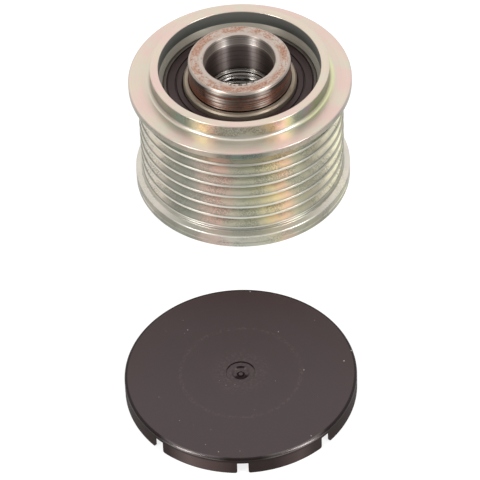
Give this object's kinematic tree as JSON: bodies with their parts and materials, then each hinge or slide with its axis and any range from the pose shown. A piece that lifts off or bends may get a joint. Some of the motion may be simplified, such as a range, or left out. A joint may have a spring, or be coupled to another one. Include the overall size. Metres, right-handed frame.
{
  "type": "overrunning alternator pulley",
  "caption": "Freewheel alternator pulley with V-ribbed belt grooves, a one-way roller clutch between ring and threaded hub, and its clip-on dust cap lying beside it.",
  "frame": {"origin": "on the pulley's axis in the plane of the belt ring's front face, which the pulley stands on", "axes": "+Z along the pulley's axis from the front face to the alternator side, which is up; the dust cap lies to -Y"},
  "size_m": [0.0577, 0.1283, 0.038],
  "materials": {
    "zinc_plate": "zinc-plated steel, pale and faintly iridescent, with turning lines",
    "hub_steel": "turned steel with brown surface rust",
    "bearing_steel": "ground hardened steel",
    "cage_plastic": "glass-filled polyamide, brown-black",
    "spring_steel": "bright spring strip",
    "seal_steel": "pressed steel sheet",
    "seal_rubber": "moulded nitrile rubber, brown-black",
    "cap_plastic": "moulded polyamide, dark grey-brown, satin to gloss"
  },
  "bodies": {
    "rim": {"pulley_ring": "zinc_plate", "clutch_cup": "bearing_steel", "clutch_cage": "cage_plastic", "clutch_rollers": "bearing_steel", "clutch_springs": "spring_steel", "front_seal_case": "seal_steel", "front_seal_rubber": "seal_rubber", "rear_seal_case": "seal_steel", "rear_seal_rubber": "seal_rubber", "dust_cap": "cap_plastic"},
    "hub": {"hub_shaft": "hub_steel", "raceway_sleeve": "bearing_steel", "front_thrust_washer": "bearing_steel", "rear_thrust_washer": "bearing_steel"},
    "front_needle_row": {"front_needle_cage": "cage_plastic", "front_needles": "bearing_steel"},
    "rear_needle_row": {"rear_needle_cage": "cage_plastic", "rear_needles": "bearing_steel"}
  },
  "joints": [
    {"name": "hub_turn", "type": "hinge", "parent": "rim", "child": "hub", "pos_m": [0, 0, 0.016], "axis": [0, 0, 1], "continuous": true},
    {"name": "front_needle_turn", "type": "hinge", "parent": "rim", "child": "front_needle_row", "pos_m": [0, 0, 0.0094], "axis": [0, 0, 1], "continuous": true},
    {"name": "rear_needle_turn", "type": "hinge", "parent": "rim", "child": "rear_needle_row", "pos_m": [0, 0, 0.0228], "axis": [0, 0, 1], "continuous": true}
  ],
  "couplings": [
    {"joint": "front_needle_turn", "follows": "hub_turn", "ratio": 0.45752},
    {"joint": "rear_needle_turn", "follows": "hub_turn", "ratio": 0.45752}
  ]
}
